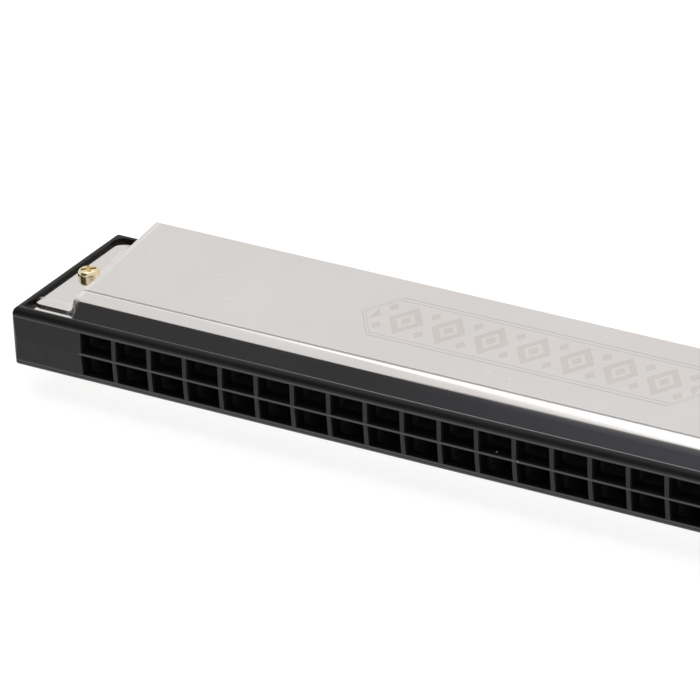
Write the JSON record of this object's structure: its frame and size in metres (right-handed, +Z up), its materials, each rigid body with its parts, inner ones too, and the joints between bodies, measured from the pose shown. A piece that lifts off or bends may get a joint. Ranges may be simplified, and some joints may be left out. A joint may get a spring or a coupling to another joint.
{
  "type": "harmonica",
  "caption": "Long tremolo harmonica: black double-hole comb between two polished sheet-metal covers with sloped ends, brass reeds and corner-tab screws.",
  "frame": {"origin": "centre of the comb, half way between the two covers", "axes": "+X along the length towards the highest notes, -Y towards the player's mouth, +Z up through the upper cover"},
  "size_m": [0.1686, 0.0298, 0.0198],
  "materials": {
    "comb_plastic": "semi-gloss moulded black ABS",
    "cover_steel": "bright rolled stainless sheet, faint grain",
    "reed_plate": "satin silvery sheet",
    "screw_brass": "bright yellow plated",
    "reed_brass": "fine-ground brass strip",
    "rivet_brass": "bright headed",
    "nail_steel": "plain pin head"
  },
  "bodies": {
    "harp": {"comb": "comb_plastic", "upper_reed_plate": "reed_plate", "lower_reed_plate": "reed_plate", "upper_cover": "cover_steel", "lower_cover": "cover_steel", "cover_bolts": "screw_brass", "cover_nuts": "screw_brass", "upper_reed_pads": "reed_brass", "lower_reed_pads": "reed_brass", "upper_reed_rivets": "rivet_brass", "lower_reed_rivets": "rivet_brass", "upper_plate_nails": "nail_steel", "lower_plate_nails": "nail_steel"},
    "upper_reed_01": {"upper_reed_01": "reed_brass"},
    "lower_reed_01": {"lower_reed_01": "reed_brass"},
    "upper_reed_02": {"upper_reed_02": "reed_brass"},
    "lower_reed_02": {"lower_reed_02": "reed_brass"},
    "upper_reed_03": {"upper_reed_03": "reed_brass"},
    "lower_reed_03": {"lower_reed_03": "reed_brass"},
    "upper_reed_04": {"upper_reed_04": "reed_brass"},
    "lower_reed_04": {"lower_reed_04": "reed_brass"},
    "upper_reed_05": {"upper_reed_05": "reed_brass"},
    "lower_reed_05": {"lower_reed_05": "reed_brass"},
    "upper_reed_06": {"upper_reed_06": "reed_brass"},
    "lower_reed_06": {"lower_reed_06": "reed_brass"},
    "upper_reed_07": {"upper_reed_07": "reed_brass"},
    "lower_reed_07": {"lower_reed_07": "reed_brass"},
    "upper_reed_08": {"upper_reed_08": "reed_brass"},
    "lower_reed_08": {"lower_reed_08": "reed_brass"},
    "upper_reed_09": {"upper_reed_09": "reed_brass"},
    "lower_reed_09": {"lower_reed_09": "reed_brass"},
    "upper_reed_10": {"upper_reed_10": "reed_brass"},
    "lower_reed_10": {"lower_reed_10": "reed_brass"},
    "upper_reed_11": {"upper_reed_11": "reed_brass"},
    "lower_reed_11": {"lower_reed_11": "reed_brass"},
    "upper_reed_12": {"upper_reed_12": "reed_brass"},
    "lower_reed_12": {"lower_reed_12": "reed_brass"},
    "upper_reed_13": {"upper_reed_13": "reed_brass"},
    "lower_reed_13": {"lower_reed_13": "reed_brass"},
    "upper_reed_14": {"upper_reed_14": "reed_brass"},
    "lower_reed_14": {"lower_reed_14": "reed_brass"},
    "upper_reed_15": {"upper_reed_15": "reed_brass"},
    "lower_reed_15": {"lower_reed_15": "reed_brass"},
    "upper_reed_16": {"upper_reed_16": "reed_brass"},
    "lower_reed_16": {"lower_reed_16": "reed_brass"},
    "upper_reed_17": {"upper_reed_17": "reed_brass"},
    "lower_reed_17": {"lower_reed_17": "reed_brass"},
    "upper_reed_18": {"upper_reed_18": "reed_brass"},
    "lower_reed_18": {"lower_reed_18": "reed_brass"},
    "upper_reed_19": {"upper_reed_19": "reed_brass"},
    "lower_reed_19": {"lower_reed_19": "reed_brass"},
    "upper_reed_20": {"upper_reed_20": "reed_brass"},
    "lower_reed_20": {"lower_reed_20": "reed_brass"},
    "upper_reed_21": {"upper_reed_21": "reed_brass"},
    "lower_reed_21": {"lower_reed_21": "reed_brass"},
    "upper_reed_22": {"upper_reed_22": "reed_brass"},
    "lower_reed_22": {"lower_reed_22": "reed_brass"}
  },
  "joints": [
    {"name": "upper_reed_01_bend", "type": "hinge", "parent": "harp", "child": "upper_reed_01", "pos_m": [-0.06825, 0.0075, 0.00325], "axis": [-1, 0, 0], "range_deg": [-3.33, 3.33], "stiffness_Nm_per_rad": 0.01},
    {"name": "lower_reed_01_bend", "type": "hinge", "parent": "harp", "child": "lower_reed_01", "pos_m": [-0.06825, 0.0075, -0.00325], "axis": [1, 0, 0], "range_deg": [-3.33, 3.33], "stiffness_Nm_per_rad": 0.01},
    {"name": "upper_reed_02_bend", "type": "hinge", "parent": "harp", "child": "upper_reed_02", "pos_m": [-0.06175, -0.0075, 0.00415], "axis": [1, 0, 0], "range_deg": [-3.43, 3.43], "stiffness_Nm_per_rad": 0.01},
    {"name": "lower_reed_02_bend", "type": "hinge", "parent": "harp", "child": "lower_reed_02", "pos_m": [-0.06175, -0.0075, -0.00415], "axis": [-1, 0, 0], "range_deg": [-3.43, 3.43], "stiffness_Nm_per_rad": 0.01},
    {"name": "upper_reed_03_bend", "type": "hinge", "parent": "harp", "child": "upper_reed_03", "pos_m": [-0.05525, 0.0075, 0.00325], "axis": [-1, 0, 0], "range_deg": [-3.52, 3.52], "stiffness_Nm_per_rad": 0.01},
    {"name": "lower_reed_03_bend", "type": "hinge", "parent": "harp", "child": "lower_reed_03", "pos_m": [-0.05525, 0.0075, -0.00325], "axis": [1, 0, 0], "range_deg": [-3.52, 3.52], "stiffness_Nm_per_rad": 0.01},
    {"name": "upper_reed_04_bend", "type": "hinge", "parent": "harp", "child": "upper_reed_04", "pos_m": [-0.04875, -0.0075, 0.00415], "axis": [1, 0, 0], "range_deg": [-3.63, 3.63], "stiffness_Nm_per_rad": 0.01},
    {"name": "lower_reed_04_bend", "type": "hinge", "parent": "harp", "child": "lower_reed_04", "pos_m": [-0.04875, -0.0075, -0.00415], "axis": [-1, 0, 0], "range_deg": [-3.63, 3.63], "stiffness_Nm_per_rad": 0.01},
    {"name": "upper_reed_05_bend", "type": "hinge", "parent": "harp", "child": "upper_reed_05", "pos_m": [-0.04225, 0.0075, 0.00325], "axis": [-1, 0, 0], "range_deg": [-3.73, 3.73], "stiffness_Nm_per_rad": 0.01},
    {"name": "lower_reed_05_bend", "type": "hinge", "parent": "harp", "child": "lower_reed_05", "pos_m": [-0.04225, 0.0075, -0.00325], "axis": [1, 0, 0], "range_deg": [-3.73, 3.73], "stiffness_Nm_per_rad": 0.01},
    {"name": "upper_reed_06_bend", "type": "hinge", "parent": "harp", "child": "upper_reed_06", "pos_m": [-0.03575, -0.0075, 0.00415], "axis": [1, 0, 0], "range_deg": [-3.84, 3.84], "stiffness_Nm_per_rad": 0.01},
    {"name": "lower_reed_06_bend", "type": "hinge", "parent": "harp", "child": "lower_reed_06", "pos_m": [-0.03575, -0.0075, -0.00415], "axis": [-1, 0, 0], "range_deg": [-3.84, 3.84], "stiffness_Nm_per_rad": 0.01},
    {"name": "upper_reed_07_bend", "type": "hinge", "parent": "harp", "child": "upper_reed_07", "pos_m": [-0.02925, 0.0075, 0.00325], "axis": [-1, 0, 0], "range_deg": [-3.95, 3.95], "stiffness_Nm_per_rad": 0.01},
    {"name": "lower_reed_07_bend", "type": "hinge", "parent": "harp", "child": "lower_reed_07", "pos_m": [-0.02925, 0.0075, -0.00325], "axis": [1, 0, 0], "range_deg": [-3.95, 3.95], "stiffness_Nm_per_rad": 0.01},
    {"name": "upper_reed_08_bend", "type": "hinge", "parent": "harp", "child": "upper_reed_08", "pos_m": [-0.02275, -0.0075, 0.00415], "axis": [1, 0, 0], "range_deg": [-4.07, 4.07], "stiffness_Nm_per_rad": 0.01},
    {"name": "lower_reed_08_bend", "type": "hinge", "parent": "harp", "child": "lower_reed_08", "pos_m": [-0.02275, -0.0075, -0.00415], "axis": [-1, 0, 0], "range_deg": [-4.07, 4.07], "stiffness_Nm_per_rad": 0.01},
    {"name": "upper_reed_09_bend", "type": "hinge", "parent": "harp", "child": "upper_reed_09", "pos_m": [-0.01625, 0.0075, 0.00325], "axis": [-1, 0, 0], "range_deg": [-4.19, 4.19], "stiffness_Nm_per_rad": 0.01},
    {"name": "lower_reed_09_bend", "type": "hinge", "parent": "harp", "child": "lower_reed_09", "pos_m": [-0.01625, 0.0075, -0.00325], "axis": [1, 0, 0], "range_deg": [-4.19, 4.19], "stiffness_Nm_per_rad": 0.01},
    {"name": "upper_reed_10_bend", "type": "hinge", "parent": "harp", "child": "upper_reed_10", "pos_m": [-0.00975, -0.0075, 0.00415], "axis": [1, 0, 0], "range_deg": [-4.31, 4.31], "stiffness_Nm_per_rad": 0.01},
    {"name": "lower_reed_10_bend", "type": "hinge", "parent": "harp", "child": "lower_reed_10", "pos_m": [-0.00975, -0.0075, -0.00415], "axis": [-1, 0, 0], "range_deg": [-4.31, 4.31], "stiffness_Nm_per_rad": 0.01},
    {"name": "upper_reed_11_bend", "type": "hinge", "parent": "harp", "child": "upper_reed_11", "pos_m": [-0.00325, 0.0075, 0.00325], "axis": [-1, 0, 0], "range_deg": [-4.43, 4.43], "stiffness_Nm_per_rad": 0.01},
    {"name": "lower_reed_11_bend", "type": "hinge", "parent": "harp", "child": "lower_reed_11", "pos_m": [-0.00325, 0.0075, -0.00325], "axis": [1, 0, 0], "range_deg": [-4.43, 4.43], "stiffness_Nm_per_rad": 0.01},
    {"name": "upper_reed_12_bend", "type": "hinge", "parent": "harp", "child": "upper_reed_12", "pos_m": [0.00325, -0.0075, 0.00415], "axis": [1, 0, 0], "range_deg": [-4.56, 4.56], "stiffness_Nm_per_rad": 0.01},
    {"name": "lower_reed_12_bend", "type": "hinge", "parent": "harp", "child": "lower_reed_12", "pos_m": [0.00325, -0.0075, -0.00415], "axis": [-1, 0, 0], "range_deg": [-4.56, 4.56], "stiffness_Nm_per_rad": 0.01},
    {"name": "upper_reed_13_bend", "type": "hinge", "parent": "harp", "child": "upper_reed_13", "pos_m": [0.00975, 0.0075, 0.00325], "axis": [-1, 0, 0], "range_deg": [-4.69, 4.69], "stiffness_Nm_per_rad": 0.01},
    {"name": "lower_reed_13_bend", "type": "hinge", "parent": "harp", "child": "lower_reed_13", "pos_m": [0.00975, 0.0075, -0.00325], "axis": [1, 0, 0], "range_deg": [-4.69, 4.69], "stiffness_Nm_per_rad": 0.01},
    {"name": "upper_reed_14_bend", "type": "hinge", "parent": "harp", "child": "upper_reed_14", "pos_m": [0.01625, -0.0075, 0.00415], "axis": [1, 0, 0], "range_deg": [-4.83, 4.83], "stiffness_Nm_per_rad": 0.01},
    {"name": "lower_reed_14_bend", "type": "hinge", "parent": "harp", "child": "lower_reed_14", "pos_m": [0.01625, -0.0075, -0.00415], "axis": [-1, 0, 0], "range_deg": [-4.83, 4.83], "stiffness_Nm_per_rad": 0.01},
    {"name": "upper_reed_15_bend", "type": "hinge", "parent": "harp", "child": "upper_reed_15", "pos_m": [0.02275, 0.0075, 0.00325], "axis": [-1, 0, 0], "range_deg": [-4.97, 4.97], "stiffness_Nm_per_rad": 0.01},
    {"name": "lower_reed_15_bend", "type": "hinge", "parent": "harp", "child": "lower_reed_15", "pos_m": [0.02275, 0.0075, -0.00325], "axis": [1, 0, 0], "range_deg": [-4.97, 4.97], "stiffness_Nm_per_rad": 0.01},
    {"name": "upper_reed_16_bend", "type": "hinge", "parent": "harp", "child": "upper_reed_16", "pos_m": [0.02925, -0.0075, 0.00415], "axis": [1, 0, 0], "range_deg": [-5.12, 5.12], "stiffness_Nm_per_rad": 0.01},
    {"name": "lower_reed_16_bend", "type": "hinge", "parent": "harp", "child": "lower_reed_16", "pos_m": [0.02925, -0.0075, -0.00415], "axis": [-1, 0, 0], "range_deg": [-5.12, 5.12], "stiffness_Nm_per_rad": 0.01},
    {"name": "upper_reed_17_bend", "type": "hinge", "parent": "harp", "child": "upper_reed_17", "pos_m": [0.03575, 0.0075, 0.00325], "axis": [-1, 0, 0], "range_deg": [-5.27, 5.27], "stiffness_Nm_per_rad": 0.01},
    {"name": "lower_reed_17_bend", "type": "hinge", "parent": "harp", "child": "lower_reed_17", "pos_m": [0.03575, 0.0075, -0.00325], "axis": [1, 0, 0], "range_deg": [-5.27, 5.27], "stiffness_Nm_per_rad": 0.01},
    {"name": "upper_reed_18_bend", "type": "hinge", "parent": "harp", "child": "upper_reed_18", "pos_m": [0.04225, -0.0075, 0.00415], "axis": [1, 0, 0], "range_deg": [-5.42, 5.42], "stiffness_Nm_per_rad": 0.01},
    {"name": "lower_reed_18_bend", "type": "hinge", "parent": "harp", "child": "lower_reed_18", "pos_m": [0.04225, -0.0075, -0.00415], "axis": [-1, 0, 0], "range_deg": [-5.42, 5.42], "stiffness_Nm_per_rad": 0.01},
    {"name": "upper_reed_19_bend", "type": "hinge", "parent": "harp", "child": "upper_reed_19", "pos_m": [0.04875, 0.0075, 0.00325], "axis": [-1, 0, 0], "range_deg": [-5.58, 5.58], "stiffness_Nm_per_rad": 0.01},
    {"name": "lower_reed_19_bend", "type": "hinge", "parent": "harp", "child": "lower_reed_19", "pos_m": [0.04875, 0.0075, -0.00325], "axis": [1, 0, 0], "range_deg": [-5.58, 5.58], "stiffness_Nm_per_rad": 0.01},
    {"name": "upper_reed_20_bend", "type": "hinge", "parent": "harp", "child": "upper_reed_20", "pos_m": [0.05525, -0.0075, 0.00415], "axis": [1, 0, 0], "range_deg": [-5.74, 5.74], "stiffness_Nm_per_rad": 0.01},
    {"name": "lower_reed_20_bend", "type": "hinge", "parent": "harp", "child": "lower_reed_20", "pos_m": [0.05525, -0.0075, -0.00415], "axis": [-1, 0, 0], "range_deg": [-5.74, 5.74], "stiffness_Nm_per_rad": 0.01},
    {"name": "upper_reed_21_bend", "type": "hinge", "parent": "harp", "child": "upper_reed_21", "pos_m": [0.06175, 0.0075, 0.00325], "axis": [-1, 0, 0], "range_deg": [-5.91, 5.91], "stiffness_Nm_per_rad": 0.01},
    {"name": "lower_reed_21_bend", "type": "hinge", "parent": "harp", "child": "lower_reed_21", "pos_m": [0.06175, 0.0075, -0.00325], "axis": [1, 0, 0], "range_deg": [-5.91, 5.91], "stiffness_Nm_per_rad": 0.01},
    {"name": "upper_reed_22_bend", "type": "hinge", "parent": "harp", "child": "upper_reed_22", "pos_m": [0.06825, -0.0075, 0.00415], "axis": [1, 0, 0], "range_deg": [-6.08, 6.08], "stiffness_Nm_per_rad": 0.01},
    {"name": "lower_reed_22_bend", "type": "hinge", "parent": "harp", "child": "lower_reed_22", "pos_m": [0.06825, -0.0075, -0.00415], "axis": [-1, 0, 0], "range_deg": [-6.08, 6.08], "stiffness_Nm_per_rad": 0.01}
  ],
  "couplings": [
    {"joint": "lower_reed_01_bend", "follows": "upper_reed_01_bend", "ratio": 1},
    {"joint": "lower_reed_02_bend", "follows": "upper_reed_02_bend", "ratio": 1},
    {"joint": "lower_reed_03_bend", "follows": "upper_reed_03_bend", "ratio": 1},
    {"joint": "lower_reed_04_bend", "follows": "upper_reed_04_bend", "ratio": 1},
    {"joint": "lower_reed_05_bend", "follows": "upper_reed_05_bend", "ratio": 1},
    {"joint": "lower_reed_06_bend", "follows": "upper_reed_06_bend", "ratio": 1},
    {"joint": "lower_reed_07_bend", "follows": "upper_reed_07_bend", "ratio": 1},
    {"joint": "lower_reed_08_bend", "follows": "upper_reed_08_bend", "ratio": 1},
    {"joint": "lower_reed_09_bend", "follows": "upper_reed_09_bend", "ratio": 1},
    {"joint": "lower_reed_10_bend", "follows": "upper_reed_10_bend", "ratio": 1},
    {"joint": "lower_reed_11_bend", "follows": "upper_reed_11_bend", "ratio": 1},
    {"joint": "lower_reed_12_bend", "follows": "upper_reed_12_bend", "ratio": 1},
    {"joint": "lower_reed_13_bend", "follows": "upper_reed_13_bend", "ratio": 1},
    {"joint": "lower_reed_14_bend", "follows": "upper_reed_14_bend", "ratio": 1},
    {"joint": "lower_reed_15_bend", "follows": "upper_reed_15_bend", "ratio": 1},
    {"joint": "lower_reed_16_bend", "follows": "upper_reed_16_bend", "ratio": 1},
    {"joint": "lower_reed_17_bend", "follows": "upper_reed_17_bend", "ratio": 1},
    {"joint": "lower_reed_18_bend", "follows": "upper_reed_18_bend", "ratio": 1},
    {"joint": "lower_reed_19_bend", "follows": "upper_reed_19_bend", "ratio": 1},
    {"joint": "lower_reed_20_bend", "follows": "upper_reed_20_bend", "ratio": 1},
    {"joint": "lower_reed_21_bend", "follows": "upper_reed_21_bend", "ratio": 1},
    {"joint": "lower_reed_22_bend", "follows": "upper_reed_22_bend", "ratio": 1}
  ]
}
